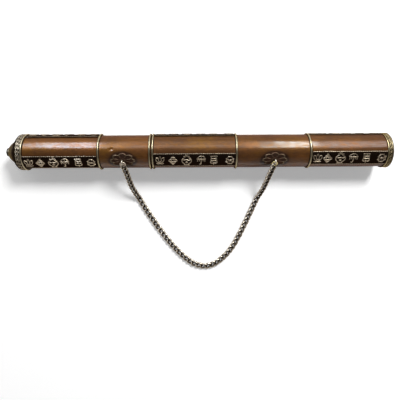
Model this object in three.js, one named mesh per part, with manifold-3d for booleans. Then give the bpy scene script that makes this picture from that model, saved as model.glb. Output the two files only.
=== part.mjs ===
// A prayer scroll holder: a copper tube in two halves with brass fittings and a carrying chain.
// Millimetres. The case lies on its side along X, with the lid towards -X, the closed base towards
// +X and the chain laid out on the table towards -Y. The origin is on the table, under the middle
// of the case.
import * as THREE from "three";
import { mergeVertices } from "three/addons/utils/BufferGeometryUtils.js";
import Module from "manifold-3d";

const wasm = await Module();
wasm.setup();

// Case
const case_length = 376.1;
const tube_radius = 16.25;
const tube_wall = 0.75;
const lid_length = 144.3;
const neck_depth = 18;
const slide_clearance = 0.3;
const solder_gap = 0.15;
const end_gap = 0.3;
const case_sides = 36;
const weld_distance = 1e-4;

// Rings and bands
const ring_width = 2.5;
const ring_stand = 1.25;
const mouth_ring_width = 2.35;
const lid_ring_from_tip = 93.7;
const mid_ring_from_base = 149.5;
const end_ring_from_base = 78.5;
const cap_length = 21.3;
const cap_stand = 1.55;
const cap_tube_share = 0.765;
const ferrule_skirt_wall = 0.5;
const lip_width = 2.2;
const lip_stand = 2.05;
const finial_radius = 4.2;
const finial_length = 1.6;
const finial_shank_radius = 1.4;
const rivet_tail_length = 0.8;
const base_band_length = 5.5;
const base_band_stand = 1.15;
const disc_thickness = 0.85;
const disc_skirt_length = 3;
const disc_skirt_wall = 0.7;

// Relief strips
const strip_width_degrees = 52.7;
const strip_thickness = 0.5;
const strip_border_width_degrees = 3.6;
const strip_border_height = 0.4;
const strip_step_degrees = 6.8;
const strips_around = 3;
const lid_strip_degrees = 38.2;
const mid_strip_degrees = 31.6;
const end_strip_degrees = 27;

// Chain fittings
const fitting_degrees = 31;
const lid_fitting_from_mouth = 27.05;
const body_fitting_from_ring = 36.5;
const rosette_length = 25;
const rosette_width = 15.5;
const rosette_thickness = 0.7;
const rosette_petals = 8;
const rosette_steps_per_petal = 4;
const rosette_notch_share = 0.13;
const staple_wire = 1.3;
const staple_eye_radius = 1.85;
const staple_neck = 0.45;
const staple_foot_length = 6.4;
const staple_hole_gap = 0.3;
const staple_eye_steps = 16;
const jump_wire = 1.1;
const jump_radius = 2.45;
const jump_clearance = 0.8;
const jump_steps = 18;
const wire_sides = 6;
const rod_sides = 8;

// Chain
const link_pitch = 4.86;
const chain_width = 5.4;
const chain_thickness = 2.5;
const run_gap = 0.5;
const drape_degrees = 42;
const chain_slack_share = 2;
const run_length_shares = [4, 6, 6, 6, 6, 4, 6, 6, 6, 6, 4];
const course_place_shares = [
  0, 0.08, 0.16, 0.24, 0.32, 0.39, 0.45, 0.5, 0.55, 0.6, 0.66, 0.74, 0.84, 0.92, 1,
];
const course_heading_degrees = [
  -76, -79, -60, -56, -53, -46.5, -38, -10, 29, 46, 60, 64, 64, 76, 73,
];

// Finishes, as seen on the old metal
const copper = { color: 0x8a5230, roughness: 0.36, metalness: 1 };
const dark_copper = { color: 0x5e3a26, roughness: 0.45, metalness: 1 };
const bright_brass = { color: 0xb59a5c, roughness: 0.32, metalness: 1 };
const aged_brass = { color: 0x6f6446, roughness: 0.45, metalness: 1 };
const relief_brass = { color: 0x3a2c20, roughness: 0.5, metalness: 1 };
const chain_brass = { color: 0x8d8061, roughness: 0.38, metalness: 1 };
const ring_gold = { color: 0xc9a75a, roughness: 0.28, metalness: 1 };

// Places worked out from the sizes
const degree = Math.PI / 180;
const facet = (2 * Math.PI) / case_sides;
const tip_x = -case_length / 2;
const base_x = case_length / 2;
const seam_x = tip_x + lid_length;
const tube_bore = tube_radius - tube_wall;
const ring_bore = tube_radius + solder_gap;
const ring_radius = tube_radius + ring_stand;
const lip_radius = tube_radius + lip_stand;
const axis_height = lip_radius * Math.cos(facet / 2);
const lid_mouth_x = seam_x - end_gap / 2;
const body_mouth_x = seam_x + end_gap / 2;
const cap_end_x = tip_x + cap_length;
const lid_ring_x = tip_x + lid_ring_from_tip;
const mid_ring_x = base_x - mid_ring_from_base;
const end_ring_x = base_x - end_ring_from_base;
const base_band_x = base_x - base_band_length;

// Turns a closed geometry into a solid that can be joined and cut.
function solid(geometry, matrix = new THREE.Matrix4()) {
  const bare = geometry.clone().applyMatrix4(matrix);
  bare.deleteAttribute("normal");
  bare.deleteAttribute("uv");
  const merged = mergeVertices(bare, weld_distance);
  return new wasm.Manifold(
    new wasm.Mesh({
      numProp: 3,
      vertProperties: merged.attributes.position.array,
      triVerts: new Uint32Array(merged.index.array),
    }),
  );
}

// Turns a solid back into a geometry.
function shell(body) {
  const mesh = body.getMesh();
  const geometry = new THREE.BufferGeometry();
  geometry.setAttribute("position", new THREE.BufferAttribute(mesh.vertProperties, 3));
  geometry.setIndex(new THREE.BufferAttribute(mesh.triVerts, 1));
  geometry.computeVertexNormals();
  return geometry;
}

// Adds one named piece to a group.
function piece(group, name, geometry, finish) {
  const mesh = new THREE.Mesh(geometry, new THREE.MeshStandardMaterial(finish));
  mesh.name = name;
  group.add(mesh);
  return mesh;
}

// Turns a closed outline of [x, radius] points about the case's axis, with a flat at the bottom.
function turned(outline) {
  let area = 0;
  outline.forEach(([x, r], i) => {
    const [next_x, next_r] = outline[(i + 1) % outline.length];
    area += x * next_r - next_x * r;
  });
  const ordered = area > 0 ? [...outline].reverse() : [...outline];
  const open = outline[0][1] === 0 && outline[outline.length - 1][1] === 0;
  if (!open) ordered.push(ordered[0]);
  const points = ordered.map(([x, r]) => new THREE.Vector2(r, x));
  const geometry = new THREE.LatheGeometry(points, case_sides, facet / 2);
  return geometry.rotateZ(-Math.PI / 2);
}

// A plain length of tube.
function pipe(x_from, x_to, outside, inside) {
  return turned([
    [x_from, inside],
    [x_from, outside],
    [x_to, outside],
    [x_to, inside],
  ]);
}

// A round rod standing out from the case's axis, for the holes that the staples pass through.
function radial_rod(x, radius, reach) {
  const rod = new THREE.CylinderGeometry(radius, radius, reach, rod_sides);
  rod.rotateX(Math.PI / 2);
  rod.translate(0, 0, reach / 2);
  rod.rotateX(fitting_degrees * degree);
  rod.translate(x, 0, 0);
  return rod;
}

const holder = new THREE.Group();
const case_frame = new THREE.Group();
case_frame.position.z = axis_height;
holder.add(case_frame);
const lid = new THREE.Group();
const body = new THREE.Group();
case_frame.add(lid, body);

// Tubes: rolled copper, each with a small hole for its staple
const staple_hole_radius = staple_wire / 2 + staple_hole_gap;
const lid_fitting_x = lid_mouth_x - lid_fitting_from_mouth;
const body_fitting_x = mid_ring_x + body_fitting_from_ring;
const lid_tube_x = tip_x + cap_tube_share * cap_length;
const body_tube_end_x = base_x - disc_thickness - solder_gap;

function tube_with_hole(x_from, x_to, hole_x) {
  const wall = solid(pipe(x_from, x_to, tube_radius, tube_bore));
  const hole = solid(radial_rod(hole_x, staple_hole_radius, tube_radius + ring_stand));
  return shell(wall.subtract(hole));
}
piece(lid, "lid_tube", tube_with_hole(lid_tube_x, lid_mouth_x, lid_fitting_x), copper);
piece(body, "body_tube", tube_with_hole(body_mouth_x, body_tube_end_x, body_fitting_x), copper);

// Neck: the liner fixed in the body, which the lid slides over
const neck_radius = tube_bore - slide_clearance;
const neck = pipe(seam_x - neck_depth, seam_x + neck_depth, neck_radius, neck_radius - tube_wall);
piece(body, "neck_tube", neck, dark_copper);

// Section rings: half-round brass wire with a flat foot on each side
const ring_outline_shares = [
  [0, 0],
  [0, 0.4],
  [0.24, 0.8],
  [0.5, 1],
  [0.76, 0.8],
  [1, 0.4],
  [1, 0],
];
function band_ring(x_middle, width, bore, radius) {
  return turned(
    ring_outline_shares.map(([along, up]) => [
      x_middle + (along - 1 / 2) * width,
      bore + up * (radius - bore),
    ]),
  );
}
const mouth_ring_offset = mouth_ring_width / 2 + end_gap;
const rings = [
  [lid, "lid_section_ring", lid_ring_x, ring_width],
  [lid, "lid_mouth_ring", seam_x - mouth_ring_offset, mouth_ring_width],
  [body, "body_mouth_ring", seam_x + mouth_ring_offset, mouth_ring_width],
  [body, "mid_ring", mid_ring_x, ring_width],
  [body, "end_section_ring", end_ring_x, ring_width],
];
for (const [half, name, x, width] of rings) {
  piece(half, name, band_ring(x, width, ring_bore, ring_radius), bright_brass);
}

// Lid end: a riveted knob on a spun dome, held in an ornate ferrule with a bright lip. The outlines
// are in shares of the cap's length from the tip and of the ferrule's radius.
const ferrule_outside_shares = [
  [0.48, 0.692],
  [0.53, 0.775],
  [0.598, 0.905],
  [0.66, 0.985],
  [0.79, 1],
];
const ferrule_bore_share = 0.77;
const ferrule_inside_shares = [
  [0.7, 0.885],
  [0.64, 0.835],
  [0.575, 0.75],
  [0.525, 0.694],
];
const dome_crown_share = 0.285;
const dome_outside_shares = [
  [0.135, 0.36],
  [0.325, 0.548],
  [0.47, 0.675],
  [0.537, 0.68],
  [0.583, 0.745],
];
const dome_seat_share = 0.125;
const dome_inside_shares = [
  [0.61, 0.712],
  [0.56, 0.635],
  [0.49, 0.626],
  [0.345, 0.502],
  [0.165, 0.32],
  [dome_seat_share, 0.235],
];
const ferrule_skirt_radius = ring_bore + ferrule_skirt_wall;
const ferrule_radius = tube_radius + cap_stand;
const lip_bore = ferrule_skirt_radius + solder_gap;
const lip_x = cap_end_x - lip_width / 2;
const lip_foot_x = cap_end_x - lip_width - end_gap / 2;
const cap_x = (share) => tip_x + share * cap_length;
const cap_points = (shares) => shares.map(([along, out]) => [cap_x(along), out * ferrule_radius]);

const ferrule = turned([
  ...cap_points(ferrule_outside_shares),
  [lip_foot_x, ferrule_radius],
  [lip_foot_x, ferrule_skirt_radius],
  [cap_end_x, ferrule_skirt_radius],
  [cap_end_x, ring_bore],
  [cap_x(ferrule_bore_share), ring_bore],
  ...cap_points(ferrule_inside_shares),
]);
piece(lid, "lid_cap_band", ferrule, aged_brass);
piece(lid, "lid_end_ring", band_ring(lip_x, lip_width, lip_bore, lip_radius), bright_brass);

const finial_back_x = tip_x + finial_length;
const dome_front_x = finial_back_x + solder_gap;
const dome_hole = finial_shank_radius + solder_gap;
const dome = turned([
  [dome_front_x, dome_hole],
  [dome_front_x, dome_crown_share * ferrule_radius],
  ...cap_points(dome_outside_shares),
  ...cap_points(dome_inside_shares),
  [cap_x(dome_seat_share), dome_hole],
]);
piece(lid, "lid_dome", dome, aged_brass);

const knob_shares = [
  [0, 0],
  [0, 0.8],
  [0.3, 1],
  [1, 1],
];
const tail_head_share = 0.7;
const tail_end_share = 0.6;
const tail_x = cap_x(dome_seat_share) + solder_gap;
const finial = turned([
  ...knob_shares.map(([along, out]) => [tip_x + along * finial_length, out * finial_radius]),
  [finial_back_x, finial_shank_radius],
  [tail_x, finial_shank_radius],
  [tail_x, tail_head_share * finial_radius],
  [tail_x + rivet_tail_length, tail_end_share * finial_radius],
  [tail_x + rivet_tail_length, 0],
]);
piece(lid, "lid_finial", finial, aged_brass);

// Base end: an ornate band round the rim and a flat disc with a skirt pushed into the tube
const base_band_radius = tube_radius + base_band_stand;
const base_band_outline_shares = [
  [0, 0],
  [0, 0.6],
  [0.12, 0.85],
  [0.24, 0.6],
  [0.78, 0.6],
  [0.9, 1],
  [1, 0.7],
  [1, 0],
];
const base_band = turned(
  base_band_outline_shares.map(([along, up]) => [
    base_band_x + along * base_band_length,
    ring_bore + up * (base_band_radius - ring_bore),
  ]),
);
piece(body, "base_band", base_band, bright_brass);

const disc_x = base_x - disc_thickness;
const skirt_bore_radius = tube_bore - solder_gap;
const disc = turned([
  [base_x, 0],
  [base_x, tube_radius - solder_gap / 2],
  [disc_x, tube_radius - solder_gap / 2],
  [disc_x, skirt_bore_radius],
  [disc_x - disc_skirt_length, skirt_bore_radius],
  [disc_x - disc_skirt_length, skirt_bore_radius - disc_skirt_wall],
  [disc_x, skirt_bore_radius - disc_skirt_wall],
  [disc_x, 0],
]);
piece(body, "base_disc", disc, aged_brass);

// Relief strips: three curved brass plates round each ornate section, with raised long edges
const strip_radius = ring_bore + strip_thickness;
const border_radius = strip_radius + strip_border_height;
function strip(x_from, x_to, centre_degrees) {
  const half = strip_width_degrees / 2;
  const inner_half = half - strip_border_width_degrees;
  const point = (angle, radius) =>
    new THREE.Vector2(radius * Math.sin(angle * degree), radius * Math.cos(angle * degree));
  const arc = (from, to, radius) => {
    const steps = Math.max(1, Math.round(Math.abs(to - from) / strip_step_degrees));
    const points = [];
    for (let i = 0; i <= steps; i++) {
      points.push(point(from + ((to - from) * i) / steps, radius));
    }
    return points;
  };
  const outline = new THREE.Shape([
    ...arc(-half, -inner_half, border_radius),
    ...arc(-inner_half, inner_half, strip_radius),
    ...arc(inner_half, half, border_radius),
    ...arc(half, -half, ring_bore),
  ]);
  const plate = new THREE.ExtrudeGeometry(outline, { depth: x_to - x_from, bevelEnabled: false });
  // The outline's plane becomes the YZ plane and its depth runs along X.
  plate.rotateY(Math.PI / 2);
  plate.rotateX(Math.PI / 2);
  plate.rotateX(centre_degrees * degree);
  plate.translate(x_from, 0, 0);
  return plate;
}
const half_ring = ring_width / 2 + end_gap;
const strip_sections = [
  [lid, "lid_strip", cap_end_x + end_gap, lid_ring_x - half_ring, lid_strip_degrees],
  [
    body,
    "mid_strip",
    seam_x + mouth_ring_width + 2 * end_gap,
    mid_ring_x - half_ring,
    mid_strip_degrees,
  ],
  [body, "end_strip", end_ring_x + half_ring, base_band_x - end_gap, end_strip_degrees],
];
for (const [half, name, x_from, x_to, first_degrees] of strip_sections) {
  for (let i = 0; i < strips_around; i++) {
    const centre = first_degrees + (i * 360) / strips_around;
    piece(half, `${name}_${i + 1}`, strip(x_from, x_to, centre), relief_brass);
  }
}

// Chain fittings: a flower washer curved to the tube and a split staple whose legs are bent over
// inside, with a jump ring through its eye
const rosette_radius = ring_bore + rosette_thickness;
const eye_outside = staple_eye_radius + staple_wire / 2;
const eye_height = rosette_radius + solder_gap + staple_neck + eye_outside;

function rosette(x) {
  const outline = [];
  const corners = rosette_petals * rosette_steps_per_petal;
  for (let i = 0; i < corners; i++) {
    const turn = (i / corners) * 2 * Math.PI;
    const lobe = 1 - rosette_notch_share * (1 - Math.abs(Math.cos((rosette_petals * turn) / 2)));
    outline.push(
      new THREE.Vector2(
        (rosette_length / 2) * lobe * Math.cos(turn),
        (rosette_width / 2) * lobe * Math.sin(turn),
      ),
    );
  }
  const reach = rosette_radius + ring_stand;
  const cutter = new THREE.ExtrudeGeometry(new THREE.Shape(outline), {
    depth: reach,
    bevelEnabled: false,
  });
  cutter.rotateX(fitting_degrees * degree);
  cutter.translate(x, 0, 0);
  const half = rosette_length;
  const sleeve = solid(pipe(x - half, x + half, rosette_radius, ring_bore));
  const hole = solid(radial_rod(x, staple_hole_radius, reach));
  return shell(sleeve.intersect(solid(cutter)).subtract(hole));
}

function staple() {
  const wire = staple_wire / 2;
  const eye = new THREE.TorusGeometry(staple_eye_radius, wire, wire_sides, staple_eye_steps);
  eye.rotateY(Math.PI / 2);
  eye.translate(0, 0, eye_height);
  const foot_top = tube_bore * Math.cos(facet / 2) - solder_gap;
  const shank_top = eye_height - staple_eye_radius;
  const shank_low = foot_top - wire;
  const shank = new THREE.CylinderGeometry(wire, wire, shank_top - shank_low, rod_sides);
  shank.rotateX(Math.PI / 2);
  shank.translate(0, 0, (shank_top + shank_low) / 2);
  const foot = new THREE.BoxGeometry(staple_foot_length, staple_wire, wire);
  foot.translate(0, 0, foot_top - wire / 2);
  return shell(solid(eye).add(solid(shank)).add(solid(foot)));
}

const fittings = [
  [lid, "lid", lid_fitting_x],
  [body, "body", body_fitting_x],
];
for (const [half, name, x] of fittings) {
  piece(half, `${name}_rosette`, rosette(x), aged_brass);
  const pin = piece(half, `${name}_staple`, staple(), chain_brass);
  pin.position.x = x;
  pin.rotation.x = fitting_degrees * degree;
}

// Chain: the first links hang from the lid's jump ring down to the table, the middle lies on it,
// and the last links climb to the body's jump ring
const fitting_sin = Math.sin(fitting_degrees * degree);
const fitting_cos = Math.cos(fitting_degrees * degree);
const eye_y = -eye_height * fitting_sin;
const eye_z = axis_height + eye_height * fitting_cos;
const lid_eye = new THREE.Vector3(lid_fitting_x, eye_y, eye_z);
const body_eye = new THREE.Vector3(body_fitting_x, eye_y, eye_z);
const jump_reach = 2 * jump_radius - jump_wire / 2;
const drape = drape_degrees * degree;
const eye_distance = body_fitting_x - lid_fitting_x;
const link_count = Math.round((chain_slack_share * eye_distance) / link_pitch);
const chain_start_z = eye_z - jump_reach * Math.sin(drape);
const chain_rest_z = chain_thickness / 2;
const chain_drop = chain_start_z - chain_rest_z;
const sloping_links = Math.ceil(chain_drop / (link_pitch * Math.sin(drape)));
const slope = Math.asin(chain_drop / (sloping_links * link_pitch));

// The heading of the course at a share of its length, in radians from +X.
function course_heading(share) {
  let i = 1;
  while (course_place_shares[i] < share) i++;
  const from = course_place_shares[i - 1];
  const along = (share - from) / (course_place_shares[i] - from);
  const a = course_heading_degrees[i - 1];
  const b = course_heading_degrees[i];
  return (a + (b - a) * along) * degree;
}

// Walks the chain link by link from the lid's eye, with the course opened out and turned.
function walk(opened, turned_by) {
  const headings = [];
  for (let i = 0; i < link_count; i++) {
    headings.push(course_heading((i + 1 / 2) / link_count) * opened + turned_by);
  }
  const step = (heading, rise, length) =>
    new THREE.Vector3(
      length * Math.cos(rise) * Math.cos(heading),
      length * Math.cos(rise) * Math.sin(heading),
      length * Math.sin(rise),
    );
  const place = lid_eye.clone().add(step(headings[0], -drape, jump_reach));
  const places = [place.clone()];
  headings.forEach((heading, i) => {
    let rise = 0;
    if (i < sloping_links) rise = -slope;
    if (i >= link_count - sloping_links) rise = slope;
    place.add(step(heading, rise, link_pitch));
    places.push(place.clone());
  });
  const end = place.clone().add(step(headings[link_count - 1], drape, jump_reach));
  return { places, miss: end.sub(body_eye) };
}

// Finds how far the course has to open and turn for its end to meet the body's eye.
let opened = 1;
let turned_by = 0;
const nudge = 1e-4;
const closing_rounds = 40;
for (let round = 0; round < closing_rounds; round++) {
  const miss = walk(opened, turned_by).miss;
  const by_open = walk(opened + nudge, turned_by).miss.sub(miss).divideScalar(nudge);
  const by_turn = walk(opened, turned_by + nudge).miss.sub(miss).divideScalar(nudge);
  const scale = by_open.x * by_turn.y - by_turn.x * by_open.y;
  opened -= (miss.x * by_turn.y - by_turn.x * miss.y) / scale;
  turned_by -= (by_open.x * miss.y - miss.x * by_open.y) / scale;
}
const link_places = walk(opened, turned_by).places;

// One flat link's body from one place to the next, pointed at both ends.
const link_outline_shares = [
  [0, 0.22],
  [0.24, 0.5],
  [0.76, 0.5],
  [1, 0.22],
];
function link_block(from, to, start_trim, end_trim) {
  const along = to.clone().sub(from);
  const length = along.length();
  along.normalize();
  const side = new THREE.Vector3(0, 0, 1).cross(along).normalize();
  const up = along.clone().cross(side);
  const near = link_outline_shares.map(([place, half]) => {
    const x = start_trim + place * (length - start_trim - end_trim);
    return new THREE.Vector2(x, half * chain_width);
  });
  const far = [...near].reverse().map((p) => new THREE.Vector2(p.x, -p.y));
  const block = new THREE.ExtrudeGeometry(new THREE.Shape([...near, ...far]), {
    depth: chain_thickness,
    bevelEnabled: false,
  });
  block.translate(0, 0, -chain_thickness / 2);
  const frame = new THREE.Matrix4().makeBasis(along, side, up);
  frame.setPosition(from);
  return solid(block, frame);
}

// How far a run's end is cut back where it meets the next run at a bend, or meets a jump ring.
const link_tip_half = link_outline_shares[0][1] * chain_width;
function end_trim_at(index) {
  if (index === 0 || index === link_count) {
    return jump_wire + jump_clearance;
  }
  const before = link_places[index].clone().sub(link_places[index - 1]);
  const after = link_places[index + 1].clone().sub(link_places[index]);
  const rise = Math.asin(after.z / after.length()) - Math.asin(before.z / before.length());
  const turn = Math.atan2(after.y, after.x) - Math.atan2(before.y, before.x);
  const rise_cut = (chain_thickness / 2) * Math.tan(Math.abs(rise) / 2);
  const turn_cut = link_tip_half * Math.tan(Math.abs(turn) / 2);
  return run_gap / 2 + rise_cut + turn_cut;
}

// The links are joined into runs, each a share of the whole chain.
const chain = new THREE.Group();
holder.add(chain);
const all_shares = run_length_shares.reduce((sum, share) => sum + share, 0);
let share_so_far = 0;
let first_link = 0;
run_length_shares.forEach((share, run) => {
  share_so_far += share;
  const end_link = Math.round((share_so_far / all_shares) * link_count);
  let joined = null;
  for (let i = first_link; i < end_link; i++) {
    const start_trim = i === first_link ? end_trim_at(i) : -run_gap;
    const end_trim = i === end_link - 1 ? end_trim_at(i + 1) : -run_gap;
    const block = link_block(link_places[i], link_places[i + 1], start_trim, end_trim);
    joined = joined ? joined.add(block) : block;
  }
  const number = String(run + 1).padStart(2, "0");
  piece(chain, `chain_run_${number}`, shell(joined), chain_brass);
  first_link = end_link;
});

// Jump rings: each lies in the plane of the eyes' line and the chain's slope
function jump_ring(name, eye, chain_end) {
  const pull = chain_end.clone().sub(eye).normalize();
  const normal = new THREE.Vector3(1, 0, 0).cross(pull).normalize();
  const across = pull.clone().cross(normal);
  const ring = new THREE.TorusGeometry(jump_radius, jump_wire / 2, wire_sides, jump_steps);
  const mesh = piece(chain, name, ring, ring_gold);
  const frame = new THREE.Matrix4().makeBasis(across, pull, normal);
  mesh.quaternion.setFromRotationMatrix(frame);
  mesh.position.copy(eye).addScaledVector(pull, jump_radius);
}
jump_ring("lid_jump_ring", lid_eye, link_places[0]);
jump_ring("body_jump_ring", body_eye, link_places[link_count]);

export default holder;
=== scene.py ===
"""A prayer scroll holder: a rolled copper case with brass fittings and a carrying chain."""

import math

import bpy
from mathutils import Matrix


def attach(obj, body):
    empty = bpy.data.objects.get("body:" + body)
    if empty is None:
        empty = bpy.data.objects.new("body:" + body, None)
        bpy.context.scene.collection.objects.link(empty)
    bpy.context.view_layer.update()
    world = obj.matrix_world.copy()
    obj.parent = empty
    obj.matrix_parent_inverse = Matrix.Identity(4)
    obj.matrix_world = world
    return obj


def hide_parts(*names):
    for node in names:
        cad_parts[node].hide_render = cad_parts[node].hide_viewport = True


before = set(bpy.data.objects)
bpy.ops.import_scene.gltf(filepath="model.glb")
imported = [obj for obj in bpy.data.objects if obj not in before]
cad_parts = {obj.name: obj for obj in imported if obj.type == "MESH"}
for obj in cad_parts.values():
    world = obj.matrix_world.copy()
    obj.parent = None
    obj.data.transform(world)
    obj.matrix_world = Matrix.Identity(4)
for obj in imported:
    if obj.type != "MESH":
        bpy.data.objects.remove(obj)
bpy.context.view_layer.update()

# The view from straight above the table, on a lens of normal width. The case's axis lies under the
# camera's upper half, turned by a third of a degree.
mm = 0.001
axis_height = 18.2304 * mm
bpy.ops.object.camera_add(location=(-1.45 * mm, 0, 378.2 * mm), rotation=(0, 0, math.radians(-0.33)))
camera = bpy.context.object
camera.name = "view_from_above"
camera.data.lens = 32.45
camera.data.sensor_width = 36
camera.data.shift_x = 0.0125
camera.data.shift_y = -0.1221
camera.data.clip_start = 0.01
bpy.context.scene.camera = camera
bpy.context.scene.view_settings.view_transform = "Standard"


# The table: a large sheet of white paper, a little rough, that keeps the case's soft shadow. Its
# paper white comes partly from a glow that the camera and the metal see.
def plain(tree, kind, settings=None, feeds=None):
    """Adds one shader node: its settings, and for each input a value or the socket that feeds it."""
    node = tree.nodes.new(kind)
    for name, value in (settings or {}).items():
        setattr(node, name, value)
    for name, value in (feeds or {}).items():
        if isinstance(value, bpy.types.NodeSocket):
            tree.links.new(value, node.inputs[name])
        else:
            node.inputs[name].default_value = value
    return node


def sums(tree, operation, first, second=0.0, third=0.0):
    """One line of arithmetic on shader values."""
    feeds = {0: first, 1: second, 2: third}
    return plain(tree, "ShaderNodeMath", {"operation": operation}, feeds).outputs[0]


def let_go():
    """Deselects everything, the frame's nodes too."""
    bpy.ops.object.select_all(action="DESELECT")


let_go()
bpy.ops.mesh.primitive_plane_add(size=8, location=(0, 0, -0.02 * mm))
table = bpy.context.object
table.name = "paper_table"
bpy.ops.object.transform_apply(location=True, rotation=True, scale=True)
paper = bpy.data.materials.new("white_paper")
paper.use_nodes = True
tree = paper.node_tree
shader = tree.nodes["Principled BSDF"]
shader.inputs["Base Color"].default_value = (0.86, 0.86, 0.86, 1)
shader.inputs["Roughness"].default_value = 0.9
shader.inputs["Specular IOR Level"].default_value = 0.1
shader.inputs["Emission Color"].default_value = (0.98, 0.99, 1, 1)
paper_glow = 0.29
light_path = plain(tree, "ShaderNodeLightPath")
seen = sums(tree, "MAXIMUM", light_path.outputs["Is Camera Ray"], light_path.outputs["Is Glossy Ray"])
seen = sums(tree, "MAXIMUM", seen, light_path.outputs["Is Transmission Ray"])
tree.links.new(sums(tree, "MULTIPLY", seen, paper_glow), shader.inputs["Emission Strength"])
table.data.materials.append(paper)


# The light: two long soft boxes on the far side of the table, three small ones in the same plane
# that give the lacquer its white patches, and a round key lamp over the far right that throws the
# case's shadow towards the chain.
def soft_box(name, place, aim, wide, tall, brightness, colour=(1, 1, 1)):
    """A rectangular lamp, in metres, whose face has the given brightness."""
    bpy.ops.object.light_add(type="AREA", location=place)
    lamp = bpy.context.object
    lamp.name = name
    lamp.data.shape = "RECTANGLE"
    lamp.data.size = wide
    lamp.data.size_y = tall
    lamp.data.color = colour
    lamp.data.energy = brightness * math.pi * wide * tall
    away = (lamp.location - aim).normalized()
    lamp.rotation_euler = away.to_track_quat("Z", "X").to_euler()
    return lamp


def far_side(degrees, along, distance=1.5):
    """A place on the far side of the case, at an angle from straight up."""
    turn = math.radians(degrees)
    return (along, distance * math.sin(turn), axis_height + distance * math.cos(turn))


case_middle = camera.location.copy()
case_middle.z = axis_height
warm_white = (1, 0.97, 0.93)
soft_box("long_soft_box", far_side(51, 0), case_middle, 1.27, 2.4, 1.05, warm_white)
lamp = soft_box("bright_soft_box", far_side(33, 0), case_middle, 0.55, 2.4, 1.7, warm_white)
lamp.visible_diffuse = False
patch_distance = 1.46
for name, degrees, along, wide, tall, brightness, colour in [
    ("left_soft_box", 46, -0.66, 1.05, 0.34, 21, (0.66, 0.8, 1)),
    ("right_soft_box", 44, 0.485, 1.2, 0.2, 23, (0.85, 0.95, 0.93)),
    ("end_soft_box", 42, 0.8, 1.2, 0.7, 5, (0.88, 0.92, 1)),
]:
    aim = case_middle.copy()
    aim.x = along
    place = far_side(degrees, along, patch_distance)
    lamp = soft_box(name, place, aim, wide, tall, brightness, colour)
    lamp.visible_diffuse = False

key_far = 1.55
key_lean = math.radians(44)
key_turn = math.radians(36)
key_place = (
    key_far * math.sin(key_lean) * math.sin(key_turn),
    key_far * math.sin(key_lean) * math.cos(key_turn),
    axis_height + key_far * math.cos(key_lean),
)
key_wide = 0.5
key_brightness = 3.3 * (key_far / key_wide) ** 2
key = soft_box("key_light", key_place, case_middle, key_wide, key_wide, key_brightness)
key.data.shape = "DISK"
key.visible_glossy = False

world = bpy.data.worlds.new("studio_room")
bpy.context.scene.world = world
world.use_nodes = True
tree = world.node_tree
room_way = plain(tree, "ShaderNodeTexCoord")
height = plain(tree, "ShaderNodeSeparateXYZ", feeds={0: room_way.outputs["Generated"]})
room = plain(tree, "ShaderNodeValToRGB", feeds={"Fac": height.outputs["Z"]})
room.color_ramp.elements[0].position = 0.0
room.color_ramp.elements[0].color = (0.5, 0.5, 0.5, 1)
room.color_ramp.elements[1].position = 0.56
room.color_ramp.elements[1].color = (0.38, 0.38, 0.38, 1)
ceiling_edge = room.color_ramp.elements.new(0.64)
ceiling_edge.color = (0.06, 0.06, 0.06, 1)
tree.links.new(room.outputs["Color"], tree.nodes["Background"].inputs["Color"])


# The tubes: two halves of rolled and soldered sheet copper, a little uneven, with a small dent near
# the lid's chain fitting. The lacquer over the tarnish is worn in streaks, thick in front and thin
# at the back, and black soldering stains lie round the two fittings.
tube_radius = 16.25
tube_wall = 0.75
tube_bore = tube_radius - tube_wall
seam_x = -43.75


def turned(name, outline, steps=128, crease=35):
    """A ring-shaped piece: a closed outline of (x, radius) in mm, spun round the case's axis."""
    let_go()
    bpy.ops.mesh.primitive_circle_add(vertices=len(outline), radius=mm)
    piece = bpy.context.object
    piece.name = piece.data.name = name
    for corner, (x, radius) in zip(piece.data.vertices, outline):
        corner.co = (x * mm, 0, axis_height + radius * mm)
    bpy.ops.object.mode_set(mode="EDIT")
    bpy.ops.mesh.select_all(action="SELECT")
    bpy.ops.mesh.spin(steps=steps, angle=2 * math.pi, center=(0, 0, axis_height), axis=(1, 0, 0))
    bpy.ops.mesh.select_all(action="SELECT")
    bpy.ops.mesh.remove_doubles(threshold=0.004 * mm)
    bpy.ops.mesh.delete_loose()
    bpy.ops.mesh.select_all(action="SELECT")
    bpy.ops.mesh.normals_make_consistent(inside=False)
    bpy.ops.object.mode_set(mode="OBJECT")
    bpy.ops.object.shade_smooth_by_angle(angle=math.radians(crease))
    return piece


def steps_between(start, end, step):
    """Evenly placed numbers from start to end, about one step apart."""
    count = max(1, round(abs(end - start) / step))
    return [start + (end - start) * i / count for i in range(count + 1)]


def out_from_axis(corner):
    """How far a corner is from the case's axis, in mm."""
    return math.hypot(corner.co.y, corner.co.z - axis_height) / mm


def uneven(piece, name, strength, patch, from_radius):
    """Gives the outside of a turned piece the slight waves of hand-worked sheet, sizes in mm."""
    outside = piece.vertex_groups.new(name="outside")
    outside.add([c.index for c in piece.data.vertices if out_from_axis(c) > from_radius], 1, "REPLACE")
    waves = bpy.data.textures.new(name, "CLOUDS")
    waves.noise_scale = patch * mm
    waves.noise_depth = 1
    push = piece.modifiers.new("waves", "DISPLACE")
    push.texture = waves
    push.texture_coords = "LOCAL"
    push.vertex_group = "outside"
    push.strength = strength * mm
    push.mid_level = 0.5
    bpy.context.view_layer.objects.active = piece
    bpy.ops.object.modifier_apply(modifier="waves")
    piece.vertex_groups.clear()


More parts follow.
